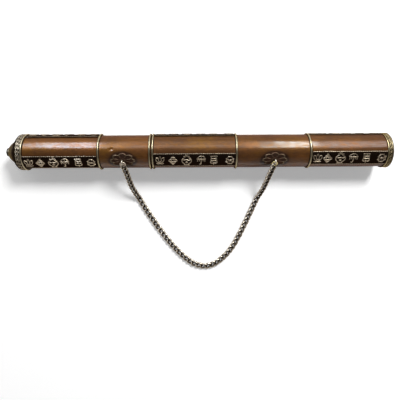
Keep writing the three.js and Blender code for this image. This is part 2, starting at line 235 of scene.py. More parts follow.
def rolled_tube(name, x_from, x_to, fine_from, fine_to):
    """One half's tube, with closely placed corners where the sheet is dented."""
    edge = 0.12
    along = [x_from + edge, *steps_between(x_from + 1, fine_from, 2.4)]
    along += steps_between(fine_from, fine_to, 0.7)[1:]
    along += [*steps_between(fine_to, x_to - 1, 2.4)[1:], x_to - edge]
    outline = [(x_from, tube_radius - edge)]
    outline += [(x, tube_radius) for x in along]
    outline += [(x_to, tube_radius - edge), (x_to, tube_bore + edge), (x_to - edge, tube_bore)]
    outline += [(x_from + edge, tube_bore), (x_from, tube_bore + edge)]
    tube = turned(name, outline, 144)
    uneven(tube, name + "_waves", 0.3, 26, tube_radius - 0.05)
    return tube


def take_up(piece):
    """Leaves one piece alone selected and active."""
    let_go()
    piece.select_set(True)
    bpy.context.view_layer.objects.active = piece


def press(piece, x, degrees, depth, reach):
    """Presses one spot of a tube inwards (or outwards) with soft edges, sizes in mm."""
    turn = math.radians(degrees)
    across, up = tube_radius * mm * math.sin(turn), tube_radius * mm * math.cos(turn)
    spot = (x * mm, -across, axis_height + up)
    nearest = min(
        piece.data.vertices, key=lambda corner: sum((a - b) ** 2 for a, b in zip(corner.co, spot))
    ).index
    take_up(piece)
    bpy.ops.object.mode_set(mode="EDIT")
    bpy.ops.mesh.select_all(action="DESELECT")
    bpy.ops.object.mode_set(mode="OBJECT")
    piece.data.vertices[nearest].select = True
    bpy.ops.object.mode_set(mode="EDIT")
    bpy.ops.transform.translate(
        value=(0, depth * mm * math.sin(turn), -depth * mm * math.cos(turn)),
        use_proportional_edit=True,
        proportional_edit_falloff="SMOOTH",
        proportional_size=reach * mm,
    )
    bpy.ops.object.mode_set(mode="OBJECT")


seam_gap = 0.3
lid_tube = rolled_tube("lid_copper_tube", -171.76, seam_x - seam_gap / 2, -88, -72)
body_tube = rolled_tube("body_copper_tube", seam_x + seam_gap / 2, 187.05, 60, 62)
for along, degrees, depth, reach in [
    (-83.6, -4.5, 0.13, 2.2), (-82.4, -6.5, 0.28, 2.2), (-81.2, -8.5, 0.26, 2.2),
    (-80.1, -10.5, 0.13, 2.2), (-79.4, -3, -0.05, 2.6), (-81.6, 0, -0.04, 2.4),
]:
    press(lid_tube, along, degrees, depth, reach)


def new_group(name, takes, gives):
    """A group of shader nodes with named inputs and outputs. Each input has its starting value."""
    group = bpy.data.node_groups.new(name, "ShaderNodeTree")
    kinds = {tuple: "NodeSocketColor", float: "NodeSocketFloat"}
    for label, value in takes.items():
        socket = group.interface.new_socket(name=label, in_out="INPUT", socket_type=kinds[type(value)])
        socket.default_value = value
    for label, kind in gives.items():
        group.interface.new_socket(name=label, in_out="OUTPUT", socket_type=kinds[kind])
    return group, plain(group, "NodeGroupInput"), plain(group, "NodeGroupOutput")


def noise(tree, where, size, detail=3.0, stretch=(1, 1, 1), place=(0, 0, 0)):
    """Soft noise whose patches are about the given size in mm, drawn out along an axis."""
    spread = plain(
        tree,
        "ShaderNodeMapping",
        feeds={"Vector": where, "Scale": [1 / s for s in stretch], "Location": place},
    )
    feeds = {"Vector": spread.outputs[0], "Scale": 1 / (size * mm), "Detail": detail}
    return plain(tree, "ShaderNodeTexNoise", feeds=feeds).outputs["Fac"]


def ramp(tree, value, low, high, to_low=0.0, to_high=1.0):
    """Spreads values between low and high over a new range, with soft ends."""
    feeds = {"Value": value, "From Min": low, "From Max": high, "To Min": to_low, "To Max": to_high}
    node = plain(tree, "ShaderNodeMapRange", {"interpolation_type": "SMOOTHSTEP"}, feeds)
    return node.outputs["Result"]


def blend_colours(tree, amount, first, second):
    """The first colour, turning into the second as the amount goes from 0 to 1."""
    node = plain(tree, "ShaderNodeMix", {"data_type": "RGBA"})
    sockets = [node.inputs[0], node.inputs[6], node.inputs[7]]
    for socket, value in zip(sockets, [amount, first, second]):
        if isinstance(value, bpy.types.NodeSocket):
            tree.links.new(value, socket)
        else:
            socket.default_value = value
    return node.outputs[2]


copper, takes, gives = new_group(
    "old_copper",
    {
        "Fresh Copper": (0.152, 0.059, 0.0175, 1.0),
        "Brown Tarnish": (0.084, 0.035, 0.013, 1.0),
        "Golden Tint": (0.147, 0.064, 0.011, 1.0),
        "Tarnish": 0.5,
    },
    {"Color": tuple, "Roughness": float, "Lacquer": float, "Height": float},
)
where = plain(copper, "ShaderNodeTexCoord").outputs["Object"]
cloud = noise(copper, where, 16, 4.0, (2.4, 1, 1))
mottle = noise(copper, where, 3.2, 5.0, (1.5, 1, 1), (0.05, 0.02, 0.01))
specks = noise(copper, where, 0.7, 2.0)
streaks = noise(copper, where, 0.9, 3.0, (14, 1, 1))
brown = sums(copper, "MULTIPLY_ADD", cloud, 0.65, sums(copper, "MULTIPLY", mottle, 0.35))
brown = sums(copper, "ADD", brown, sums(copper, "SUBTRACT", takes.outputs["Tarnish"], 0.5))
brown = ramp(copper, brown, 0.36, 0.66)
tint = ramp(copper, noise(copper, where, 22, 2.0, (2, 1, 1), (0.4, 0, 0)), 0.42, 0.66)
colour = blend_colours(copper, tint, takes.outputs["Fresh Copper"], takes.outputs["Golden Tint"])
colour = blend_colours(copper, brown, colour, takes.outputs["Brown Tarnish"])
dark = ramp(copper, specks, 0.6, 0.72, 0.0, 0.4)
colour = blend_colours(copper, dark, colour, (0.05, 0.022, 0.012, 1))
apart = plain(copper, "ShaderNodeSeparateXYZ", feeds={0: where}).outputs
fittings_middle, fitting_from_middle = 2.05, 73
stain_angle = math.radians(33)
stain_half_length, stain_half_width = 14.2, 9.2
up = sums(copper, "SUBTRACT", apart["Z"], axis_height)
up = sums(copper, "MULTIPLY", up, -math.sin(stain_angle))
round_case = sums(copper, "MULTIPLY_ADD", apart["Y"], -math.cos(stain_angle), up)
round_case = sums(copper, "DIVIDE", round_case, stain_half_width * mm)
along = sums(copper, "SUBTRACT", apart["X"], fittings_middle * mm)
along = sums(copper, "SUBTRACT", sums(copper, "ABSOLUTE", along), fitting_from_middle * mm)
along = sums(copper, "DIVIDE", along, stain_half_length * mm)
away = sums(copper, "MULTIPLY", round_case, round_case)
away = sums(copper, "MULTIPLY_ADD", along, along, away)
stain = ramp(copper, sums(copper, "MULTIPLY_ADD", mottle, 0.5, away), 1.0, 1.5, 0.85, 0.0)
colour = blend_colours(copper, stain, colour, (0.022, 0.011, 0.008, 1))
rough = sums(copper, "MULTIPLY_ADD", brown, 0.1, sums(copper, "MULTIPLY", streaks, 0.22))
worn = sums(copper, "MULTIPLY_ADD", streaks, 0.5, sums(copper, "MULTIPLY", mottle, 0.5))
copper.links.new(colour, gives.inputs["Color"])
copper.links.new(sums(copper, "ADD", rough, 0.26), gives.inputs["Roughness"])
kept = ramp(copper, apart["Y"], 9.5 * mm, 12 * mm, 1.0, 0.3)
kept = sums(copper, "MULTIPLY", kept, ramp(copper, apart["Y"], -12 * mm, -8 * mm, 1.9, 1.0))
kept = sums(copper, "MULTIPLY", kept, ramp(copper, worn, 0.34, 0.62, 0.25, 1.0))
copper.links.new(kept, gives.inputs["Lacquer"])
fine = sums(copper, "MULTIPLY_ADD", specks, 0.3, sums(copper, "MULTIPLY", streaks, 0.5))
fine = sums(copper, "ADD", fine, sums(copper, "MULTIPLY", mottle, 0.6))
copper.links.new(fine, gives.inputs["Height"])


def finish(name, group, values, coat=0.0, coat_roughness=0.1, coat_index=1.7, metal=1.0, bump=0.05):
    """A metal whose colour, roughness and fine relief come from one of the groups."""
    material = bpy.data.materials.new(name)
    material.use_nodes = True
    tree = material.node_tree
    shader = tree.nodes["Principled BSDF"]
    feeds = values(tree) if callable(values) else values
    look = plain(tree, "ShaderNodeGroup", {"node_tree": group}, feeds)
    tree.links.new(look.outputs["Color"], shader.inputs["Base Color"])
    tree.links.new(look.outputs["Roughness"], shader.inputs["Roughness"])
    shader.inputs["Metallic"].default_value = metal
    shader.inputs["Specular IOR Level"].default_value = 0.1
    shader.inputs["Specular Tint"].default_value = (0.36, 0.29, 0.2, 1)
    shader.inputs["Coat Roughness"].default_value = coat_roughness
    shader.inputs["Coat IOR"].default_value = coat_index
    if coat and "Lacquer" in look.outputs:
        lacquer = sums(tree, "MULTIPLY", look.outputs["Lacquer"], coat)
        tree.links.new(lacquer, shader.inputs["Coat Weight"])
    relief = plain(tree, "ShaderNodeBump", feeds={"Strength": 1.0, "Distance": bump * mm})
    tree.links.new(look.outputs["Height"], relief.inputs["Height"])
    tree.links.new(relief.outputs["Normal"], shader.inputs["Normal"])
    return material


for tube, body, tarnish in [(lid_tube, "lid", 0.5), (body_tube, "root", 0.57)]:
    tube.data.materials.append(
        finish(
            tube.name + "_lacquered", copper, {"Tarnish": tarnish},
            coat=0.08, coat_roughness=0.13, coat_index=4.0, metal=0.45,
        )
    )
    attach(tube, body)
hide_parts("lid_tube")
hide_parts("body_tube")


# The neck: a thinner copper liner soldered into the body's mouth, which the lid slides over. It is
# dull and dark, with the marks of sliding along it.
neck_radius = 15.2
neck_wall = 0.75
neck_depth = 18
neck_edge = 0.2
neck_from, neck_to = seam_x - neck_depth, seam_x + neck_depth
neck_outline = [(neck_from, neck_radius - 2 * neck_edge)]
neck_outline += [(neck_from + neck_edge, neck_radius - neck_edge / 3)]
along = steps_between(neck_from + 3 * neck_edge, neck_to - neck_edge, 3)
neck_outline += [(x, neck_radius) for x in along]
neck_outline += [(neck_to, neck_radius - neck_edge), (neck_to, neck_radius - neck_wall)]
neck_outline += [(neck_from, neck_radius - neck_wall)]
neck = turned("neck_liner", neck_outline, 128)
neck_copper = finish(
    "dull_neck_copper",
    copper,
    {
        "Fresh Copper": (0.34, 0.16, 0.07, 1),
        "Brown Tarnish": (0.12, 0.06, 0.03, 1),
        "Golden Tint": (0.3, 0.17, 0.07, 1),
        "Tarnish": 0.56,
    },
    coat=0.2,
    coat_roughness=0.25,
)
neck.data.materials.append(neck_copper)
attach(neck, "root")
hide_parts("neck_tube")


# The section rings: half-round brass wire drawn round the case and soldered on flat feet. Their
# tops are rubbed bright, and black tarnish sits along both sides.
ring_bore = 16.4
ring_foot_rise = 0.28
ring_round_share = 0.64
ring_curve_steps = 10
mouth_ring_offset = 1.475


def half_round(middle, width, bore, top, round_share=ring_round_share):
    """The outline of a half-round wire on two thin feet."""
    half = width / 2
    outline = [(middle - half, bore), (middle - half, bore + ring_foot_rise * 0.7)]
    outline += [(middle - half * (round_share + 0.06), bore + ring_foot_rise)]
    for step in range(ring_curve_steps + 1):
        turn = math.pi * (1 - step / ring_curve_steps)
        rise = (top - bore - ring_foot_rise) * math.sin(turn) ** 0.8
        outline.append((middle + half * round_share * math.cos(turn), bore + ring_foot_rise + rise))
    outline += [(middle + half * (round_share + 0.06), bore + ring_foot_rise)]
    outline += [(middle + half, bore + ring_foot_rise * 0.7), (middle + half, bore)]
    return outline


# The Rubbed input is wear; the marks fed into it on the knob, dome, ferrule, washers and chain links also
# hold painted shade and painted highlight.
brass, takes, gives = new_group(
    "old_brass",
    {
        "Rubbed Brass": (0.36, 0.28, 0.155, 1.0),
        "Dull Brass": (0.13, 0.095, 0.05, 1.0),
        "Black Tarnish": (0.025, 0.016, 0.01, 1.0),
        "Rubbed": 1.0,
        "Tarnish": 0.5,
    },
    {"Color": tuple, "Roughness": float, "Height": float},
)
where = plain(brass, "ShaderNodeTexCoord").outputs["Object"]
cloud = noise(brass, where, 7, 3.0)
mottle = noise(brass, where, 1.4, 4.0, (1, 1, 1), (0.03, 0.01, 0.02))
grain = noise(brass, where, 0.35, 2.0)
wear = sums(brass, "MULTIPLY_ADD", mottle, 0.5, sums(brass, "MULTIPLY", cloud, 0.3))
wear = sums(brass, "SUBTRACT", wear, sums(brass, "MULTIPLY_ADD", takes.outputs["Tarnish"], 0.6, 0.1))
wear = sums(brass, "ADD", takes.outputs["Rubbed"], wear)
dull = ramp(brass, wear, 0.08, 0.5)
bright = ramp(brass, wear, 0.5, 0.95)
colour = blend_colours(brass, dull, takes.outputs["Black Tarnish"], takes.outputs["Dull Brass"])
colour = blend_colours(brass, bright, colour, takes.outputs["Rubbed Brass"])
rough = sums(brass, "MULTIPLY_ADD", bright, -0.22, sums(brass, "MULTIPLY_ADD", grain, 0.14, 0.47))
brass.links.new(colour, gives.inputs["Color"])
brass.links.new(rough, gives.inputs["Roughness"])
fine = sums(brass, "MULTIPLY_ADD", grain, 0.35, sums(brass, "MULTIPLY", mottle, 0.65))
brass.links.new(fine, gives.inputs["Height"])

case_height, takes, gives = new_group("height_over_axis", {"Low": 0.0, "High": 1.0}, {"Share": float})
where = plain(case_height, "ShaderNodeTexCoord").outputs["Object"]
apart = plain(case_height, "ShaderNodeSeparateXYZ", feeds={0: where})
up = sums(case_height, "SUBTRACT", apart.outputs["Z"], axis_height)
across = apart.outputs["Y"]
out = sums(case_height, "MULTIPLY_ADD", across, across, sums(case_height, "MULTIPLY", up, up))
out = sums(case_height, "SQRT", out)
share = plain(
    case_height,
    "ShaderNodeMapRange",
    feeds={"Value": out, "From Min": takes.outputs["Low"], "From Max": takes.outputs["High"]},
)
case_height.links.new(share.outputs["Result"], gives.inputs["Share"])


def rubbed_above(low, high, **values):
    """Feeds for a brass that is rubbed bright between two distances from the axis, in mm."""
    def feeds(tree):
        limits = {"Low": low * mm, "High": high * mm}
        height = plain(tree, "ShaderNodeGroup", {"node_tree": case_height}, limits)
        return {"Rubbed": height.outputs["Share"], **{k.replace("_", " "): v for k, v in values.items()}}
    return feeds


ring_brass = finish(
    "ring_brass",
    brass,
    rubbed_above(16.85, 17.35, Rubbed_Brass=(0.4, 0.33, 0.21, 1), Tarnish=0.42),
)
for name, middle, width, top, body in [
    ("lid_section_ring", -94.35, 2.5, 17.9, "lid"),
    ("lid_mouth_ring", seam_x - mouth_ring_offset, 2.35, 17.8, "lid"),
    ("body_mouth_ring", seam_x + mouth_ring_offset, 2.35, 17.8, "root"),
    ("mid_ring", 38.55, 2.5, 17.6, "root"),
    ("end_section_ring", 109.55, 2.5, 17.5, "root"),
]:
    ring = turned(name + "_wire", half_round(middle, width, ring_bore, top), 128, 50)
    uneven(ring, name + "_waves", 0.14, 6, ring_bore + ring_foot_rise / 2)
    ring.data.materials.append(ring_brass)
    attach(ring, body)
    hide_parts(name)


# The lid's end: a pressed ferrule with a row of scrolls, round a spun dome that a knob is riveted
# through, and a bright half-round lip where the ferrule meets the relief strips.
tip_x = -188.05
cap_length = 21.3
cap_end = tip_x + cap_length
ferrule_radius = 17.8


def cap_points(shares):
    """Outline points from shares of the cap's length and of the ferrule's radius."""
    return [(tip_x + along * cap_length, out * ferrule_radius) for along, out in shares]


def wire(name, paths, thickness, flatness=1.0, sides=2, smooth=True, bead=0.0):
    """Round wire laid along paths of (x, y, z) in mm. Each path says whether it is closed. A beaded
    wire is pinched between every two points."""
    line = bpy.data.curves.new(name, "CURVE")
    line.dimensions = "3D"
    line.bevel_depth = thickness / 2 * mm
    line.bevel_resolution = sides
    line.use_fill_caps = True
    for points, closed in paths:
        spline = line.splines.new("NURBS" if smooth and len(points) > 2 else "POLY")
        spline.points.add(len(points) - 1)
        for knot, point in zip(spline.points, points):
            knot.co = (*(p * mm for p in point), 1)
        for knot in list(spline.points)[1::2]:
            knot.radius = 1 - bead
        spline.use_cyclic_u = closed
        if spline.type == "NURBS":
            spline.order_u = 3
            spline.resolution_u = 3
            spline.use_endpoint_u = not closed
    piece = bpy.data.objects.new(name, line)
    bpy.context.collection.objects.link(piece)
    take_up(piece)
    bpy.ops.object.convert(target="MESH")
    piece = bpy.context.object
    for corner in piece.data.vertices:
        corner.co.z *= flatness
    bpy.ops.object.shade_smooth_by_angle(angle=math.radians(50))
    return piece


def lay_round_case(piece, middle, degrees, floor):
    """Bends a flat piece round the case: x stays along it, y goes round it and z out from it. The
    floor is the radius it lies on, in mm, or a function that gives it at any x."""
    for corner in piece.data.vertices:
        along, across, up = (c / mm for c in corner.co)
        radius = floor(middle + along) if callable(floor) else floor
        turn = math.radians(degrees) - across / radius
        out = (radius + up) * mm
        corner.co = ((middle + along) * mm, -out * math.sin(turn), axis_height + out * math.cos(turn))
    piece.data.update()
    return piece


def joined(name, parts):
    """Joins parts into one named piece."""
    let_go()
    for part in parts:
        part.select_set(True)
    bpy.context.view_layer.objects.active = parts[0]
    bpy.ops.object.join()
    parts[0].name = parts[0].data.name = name
    return parts[0]


def copied(piece):
    """A copy of a piece with its own mesh."""
    twin = piece.copy()
    twin.data = piece.data.copy()
    bpy.context.collection.objects.link(twin)
    return twin


def outline_radius(outline):
    """The radius of an outline at any x, in mm."""
    def at(x):
        for (x_a, r_a), (x_b, r_b) in zip(outline, outline[1:]):
            if x <= x_b:
                return r_a + (r_b - r_a) * max(0.0, x - x_a) / (x_b - x_a)
        return outline[-1][1]
    return at


ferrule_outside = cap_points(
    [
        [0.48, 0.692], [0.503, 0.722], [0.53, 0.777], [0.56, 0.84], [0.598, 0.908], [0.63, 0.953],
        [0.66, 0.984], [0.7, 0.998], [0.74, 0.998], [0.79, 0.992],
    ]
)
lip_seat = cap_end - 1.65
ferrule_outside += [(cap_end - 3.2, 17.6), (lip_seat, 17.7)]
ferrule_inside = [(lip_seat, 16.9), (cap_end, 16.9), (cap_end, 16.4), (cap_end - 4.9, 16.4)]
ferrule_inside += cap_points([[0.7, 0.885], [0.64, 0.835], [0.575, 0.75], [0.525, 0.694]])
ferrule_shell = turned("ferrule_shell", ferrule_outside + ferrule_inside, 128)
ferrule_scroll = [
    (-1.5, 1.0), (-1.75, 0.2), (-1.2, -0.5), (-0.5, -0.2), (-0.6, 0.6), (0, 0.9), (0.5, 0.1),
    (0.6, -0.7), (1.3, -1.1), (1.9, -0.4), (1.6, 0.4), (1.0, 0.1),
]
ferrule_rows = 28
ferrule_turn = 360 / ferrule_rows
at_ferrule = outline_radius(ferrule_outside)
ferrule_parts = [ferrule_shell]
scroll = wire("ferrule_scroll", [([(x, 1.2 * y, 0) for x, y in ferrule_scroll], False)], 0.7, 0.8)
bead = wire("ferrule_bead", [([(-0.3, 0, 0), (0.3, 0, 0)], False)], 0.8, 0.8, smooth=False)
for row in range(ferrule_rows):
    ferrule_parts.append(lay_round_case(copied(scroll), cap_end - 4.1, row * ferrule_turn, at_ferrule))
    for middle in (cap_end - 3.2, cap_end - 5.1):
        turn = (row + 0.5) * ferrule_turn
        ferrule_parts.append(lay_round_case(copied(bead), middle, turn, at_ferrule))
for spare in (scroll, bead):
    bpy.data.objects.remove(spare)
ferrule = joined("ferrule_with_scrolls", ferrule_parts)


def mark_wear_and_painted_light(piece, share):
    """Notes at each corner how bright the metal there is, from 0 to 1: wear, and on some pieces painted
    shade and painted highlight.
    """
    note = piece.data.attributes.new("rubbed", "FLOAT", "POINT")
    note.data.foreach_set("value", [min(1.0, max(0.0, share(c))) for c in piece.data.vertices])


def ferrule_wear_and_painted_shade(corner):
    """The scrolls are rubbed bright; the face where the ferrule turns in towards the dome is painted dark, a
    painted shade.
    """
    x = corner.co.x / mm
    turned_in = min(1, max(0, (x - cap_end + 7.5) / 1.5))
    return 0.3 * turned_in - 0.1 + (out_from_axis(corner) - at_ferrule(x)) / 0.3 * turned_in


mark_wear_and_painted_light(ferrule, ferrule_wear_and_painted_shade)


def wear_and_painted_light_where_marked(**values):
    """Feeds for a brass that is bright where the piece's corners say so: wear, and any painted shade and
    highlight marked there.
    """
    def feeds(tree):
        note = plain(tree, "ShaderNodeAttribute", {"attribute_name": "rubbed"})
        return {"Rubbed": note.outputs["Fac"], **{k.replace("_", " "): v for k, v in values.items()}}
    return feeds


ferrule_brass = finish(
    "ferrule_brass",
    brass,
    wear_and_painted_light_where_marked(
        Rubbed_Brass=(0.395, 0.325, 0.235, 1), Dull_Brass=(0.098, 0.071, 0.046, 1),
        Black_Tarnish=(0.022, 0.015, 0.009, 1), Tarnish=0.46,
    ),
)
ferrule.data.materials.append(ferrule_brass)

lip = turned("ferrule_lip", half_round(cap_end - 0.8, 1.6, 17.0, 18.22, 0.7), 128, 50)
uneven(lip, "lip_waves", 0.02, 6, 17.2)
lip_brass = finish(
    "lip_brass",
    brass,
    rubbed_above(17.3, 17.95, Rubbed_Brass=(0.5, 0.42, 0.28, 1), Tarnish=0.36),
)
lip.data.materials.append(lip_brass)

dome_outside = cap_points(
    [
        [0.126, 0.087], [0.126, 0.275], [0.138, 0.318], [0.162, 0.365], [0.2, 0.422],
        [0.262, 0.492], [0.325, 0.55], [0.38, 0.603], [0.43, 0.65], [0.452, 0.674],
        [0.466, 0.677], [0.48, 0.676], [0.492, 0.676], [0.505, 0.677], [0.52, 0.678],
        [0.537, 0.68], [0.56, 0.708], [0.583, 0.745],
    ]
)
dome_inside = cap_points(
    [
        [0.61, 0.712], [0.56, 0.635], [0.49, 0.626], [0.345, 0.502], [0.175, 0.32],
        [0.156, 0.235], [0.156, 0.087],
    ]
)
dome = turned("spun_dome", dome_outside + dome_inside, 128, 40)
painted_shade_groove = tip_x + 9.8
groove_width = 0.9


def dome_dullness_and_painted_shade(corner):
    """The dome is evenly dull, with a black band of painted shade at its moulding where it goes into the
    ferrule.
    """
    return 0.66 - 0.5 * math.exp(-(((corner.co.x / mm - painted_shade_groove) / groove_width) ** 2))


mark_wear_and_painted_light(dome, dome_dullness_and_painted_shade)
dome_brass = finish(
    "dome_brass",
    brass,
    wear_and_painted_light_where_marked(
        Rubbed_Brass=(0.27, 0.225, 0.15, 1), Dull_Brass=(0.11, 0.085, 0.058, 1),
        Black_Tarnish=(0.03, 0.022, 0.015, 1), Tarnish=0.5,
    ),
    bump=0.08,
)
dome.data.materials.append(dome_brass)

knob_points = [(0, 0), (0.02, 2.6), (0.1, 3.4), (0.28, 3.95), (0.5, 4.2), (1.2, 4.2), (2.2, 4.15)]
knob_points += [(2.4, 3.95), (2.5, 3.3), (2.5, 1.4), (3.4, 1.4), (3.4, 2.6), (4.0, 2.2), (4.0, 0)]
knob = turned("riveted_knob", [(tip_x + x, r) for x, r in knob_points], 64, 60)
# The knob's front rim is painted black as painted shade, and the band behind it pale as a painted highlight.
knob_painted_shade_to = tip_x + 1.1
mark_wear_and_painted_light(knob, lambda corner: 0.05 + 0.85 * min(1, max(0, (corner.co.x / mm - knob_painted_shade_to) / 0.4)))
knob_brass = finish(
    "knob_brass",
    brass,
    wear_and_painted_light_where_marked(
        Rubbed_Brass=(0.5, 0.46, 0.38, 1), Dull_Brass=(0.08, 0.066, 0.048, 1),
        Black_Tarnish=(0.03, 0.025, 0.02, 1), Tarnish=0.5,
    ),
    metal=0.6,
)
knob.data.materials.append(knob_brass)
for piece, node, finish_slot in [
    (ferrule, "lid_cap_band", "aged_brass"), (lip, "lid_end_ring", "bright_brass"),
    (dome, "lid_dome", "aged_brass"), (knob, "lid_finial", "aged_brass"),
]:
    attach(piece, "lid")
    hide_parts(node)


# The base: a pressed band of scrolls round the rim, and a turned disc whose skirt is pushed into
# the tube.
base_x = 188.05
band_from = 182.55
band_middle = 185.35
band_floor = 16.9
band_outline = [
    (band_from, 16.4), (band_from, 16.85), (182.8, 17.12), (183.2, 17.22), (183.6, 17.14),
    (183.85, 16.96), (184.2, band_floor), (186.5, band_floor), (186.85, 16.98), (187.1, 17.25),
    (187.5, 17.4), (187.85, 17.38), (base_x, 17.15), (base_x, 16.4),
]
band_shell = turned("band_shell", band_outline, 128, 50)
band_rows = 26
band_turn = 360 / band_rows
band_scroll = [
    (0.9, 1.5), (0.2, 1.9), (-0.7, 1.6), (-0.9, 0.7), (-0.2, 0.3), (0.3, 0.0), (0.9, -0.3),
    (0.8, -1.3), (0.0, -1.7), (-0.8, -1.3),
]
band_parts = [band_shell]
scroll = wire("band_scroll", [([(x, y, 0) for x, y in band_scroll], False)], 0.7, 0.75)
bead = wire("band_bead", [([(-0.15, 0, 0), (0.15, 0, 0)], False)], 0.75, 0.7, smooth=False)
for row in range(band_rows):
    for relief, turn in ((scroll, row * band_turn), (bead, (row + 0.5) * band_turn)):
        band_parts.append(lay_round_case(copied(relief), band_middle, turn, band_floor))
for spare in (scroll, bead):
    bpy.data.objects.remove(spare)
base_band = joined("base_band_with_scrolls", band_parts)
rim_edge = 187.5


def band_rubbed(corner):
    """The band's relief is rubbed, and the outer edge that faces the base is black."""
    from_edge = min(1, max(0, (rim_edge - corner.co.x / mm) / 0.5))
    return (out_from_axis(corner) - band_floor + 0.08) / 0.38 * from_edge


mark_wear_and_painted_light(base_band, band_rubbed)
base_band.data.materials.append(finish("band_brass", brass, wear_and_painted_light_where_marked(Tarnish=0.45)))

disc_face = 187.6
disc_outline = [(187.75, 0), (187.75, 1.2), (disc_face, 1.9), (disc_face, 4.4), (187.72, 4.8)]
disc_outline += [(disc_face, 5.2), (disc_face, 10.2), (187.74, 10.7), (disc_face, 11.2)]
disc_outline += [(disc_face, 14.1), (187.8, 14.6), (base_x, 14.9), (base_x, 15.9), (187.9, 16.17)]
disc_outline += [(187.2, 16.17), (187.2, 15.35), (184.2, 15.35), (184.2, 14.65), (187.0, 14.65), (187.0, 0)]
base_disc = turned("turned_base_disc", disc_outline, 128, 45)
mark_wear_and_painted_light(base_disc, lambda corner: 0.5 + (corner.co.x / mm - disc_face) * 1.6)
base_disc.data.materials.append(dome_brass)
for piece, node, finish_slot in [
    (base_band, "base_band", "bright_brass"), (base_disc, "base_disc", "aged_brass"),
]:
    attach(piece, "root")
    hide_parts(node)


# The relief strips: cast brass plates, three round each ornate section, soldered between rounded
# long edges. Each carries six good-luck ornaments that stand out bright from a blackened ground; the
# two strips that face down and back are less rubbed and painted darker, a painted shade.
strip_bore = 16.4
strip_half_degrees = 24.7
edge_wire = 0.95
edge_bead = 0.95
edge_sunk = 0.03
stroke = 1.2


def paired(strokes):
    """Open strokes, each with its mirror image across the ornament's middle."""
    return [([(side * x, y) for x, y in points], False) for points in strokes for side in (1, -1)]


lotus = [
    ([(0, 4.4), (1.3, 2.2), (1.5, 0.2), (0, -1.8), (-1.5, 0.2), (-1.3, 2.2), (0, 4.4)], False),
    *paired([[(1.5, 1.6), (3.0, 2.9), (4.2, 2.6), (4.0, 0.4), (2.6, -1.6), (0.4, -2.2)]]),
    ([(-3.8, -2.6), (-2.2, -3.8), (0, -3.0), (2.2, -3.8), (3.8, -2.6)], False),
]
knot = [
    ([(-4.2, 1.3), (4.2, 1.3), (4.2, -1.3), (-4.2, -1.3)], True),
    ([(-1.3, 4.2), (1.3, 4.2), (1.3, -4.2), (-1.3, -4.2)], True),
    ([(-2.9, 2.9), (2.9, 2.9), (2.9, -2.9), (-2.9, -2.9)], True),
]
vase = [
    ([(-3.2, 3.9), (3.2, 3.9)], False),
    ([(0, 6.2), (1.3, 5.3), (0, 4.6), (-1.3, 5.3)], True),
    *paired([[(1.5, 3.9), (1.3, 2.8), (4.6, 1.8), (5.0, -0.6), (3.2, -2.8), (1.5, -3.6), (1.8, -4.6)]]),
    ([(-3.0, -4.8), (3.0, -4.8)], False),
    ([(-4.4, 0.9), (-2, 0.1), (0, 1.2), (2, 0.1), (4.4, 0.9)], False),
    ([(0, -0.6), (1.2, -1.6), (0, -2.6), (-1.2, -1.6)], True),
]
parasol = [
    ([(-4.4, 1.4), (-3.2, 3.3), (0, 4.4), (3.2, 3.3), (4.4, 1.4)], False),
    ([(-4.4, 1.3), (4.4, 1.3)], False),
    *paired([[(3.6, 1.3), (3.6, -1.0)], [(1.8, 1.3), (1.8, -0.6)]]),
    ([(0, 3.6), (0, -3.0), (-0.6, -4.4), (-2.2, -3.6)], False),
]
banner = [
    ([(-3.6, 3.9), (3.6, 3.9)], False),
    *paired([[(2.6, 3.9), (2.7, 0), (3.4, -2.2)]]),
    ([(-2.6, 1.8), (2.6, 1.8)], False),
    ([(-2.8, -0.2), (2.8, -0.2)], False),
    ([(-3.4, -2.2), (-1.7, -3.4), (0, -2.0), (1.7, -3.4), (3.4, -2.2)], False),
    ([(0, -2.2), (0, -4.3)], False),
]
wheel_spokes = 4
wheel = [
    ([(3.6 * math.cos(math.pi * i / 6), 3.6 * math.sin(math.pi * i / 6)) for i in range(12)], True),
    ([(0.9, 0), (0, 0.9), (-0.9, 0), (0, -0.9)], True),
]
for spoke in range(wheel_spokes):
    turn = math.pi * (spoke + 0.5) / wheel_spokes
    reach = (4.5 * math.cos(turn), 4.5 * math.sin(turn))
    wheel.append(([reach, (-reach[0], -reach[1])], False))
ornaments = [lotus, knot, vase, parasol, banner, wheel]
ornament_long = 0.96
ornament_tall = 1.1


def ornament(strokes):
    """One flat ornament of rounded strokes, in mm, about a middle at nought."""
    parts = []
    for name, bent in (("bent_strokes", True), ("straight_strokes", False)):
        paths = [
            ([(ornament_long * x, ornament_tall * y, 0) for x, y in points], closed)
            for points, closed in strokes if (len(points) > 2) == bent
        ]
        if paths:
            parts.append(wire(name, paths, stroke, 0.7, 1, bent))
    return joined("ornament", parts)


def relief_strip(name, x_from, x_to, degrees, places, ground):
    """One strip: a plate with two rounded edges and the six ornaments, on a ground of one radius."""
    middle, long = (x_from + x_to) / 2, x_to - x_from
    wide = 2 * math.radians(strip_half_degrees) * ground
    let_go()
    bpy.ops.mesh.primitive_grid_add(x_subdivisions=round(long), y_subdivisions=24, size=1)
    plate = bpy.context.object
    for corner in plate.data.vertices:
        corner.co = (corner.co.x * long * mm, corner.co.y * wide * mm, 0)
    lay_round_case(plate, middle, degrees, ground)
    wall = plate.modifiers.new("wall", "SOLIDIFY")
    wall.thickness = (ground - strip_bore) * mm
    wall.offset = -1
    bpy.ops.object.modifier_apply(modifier="wall")
    edge = wide / 2 - edge_wire / 2
    along = steps_between(-long / 2, long / 2, edge_bead)
    edges = [([(x, side * edge, 0) for x in along], False) for side in (-1, 1)]
    edges = wire("strip_edges", edges, edge_wire, 0.8, 2, False, 0.22)
    parts = [plate, lay_round_case(edges, middle, degrees, ground - edge_sunk)]
    for strokes, place in zip(ornaments, places):
        parts.append(lay_round_case(ornament(strokes), middle + place, degrees, ground))
    return joined(name, parts)
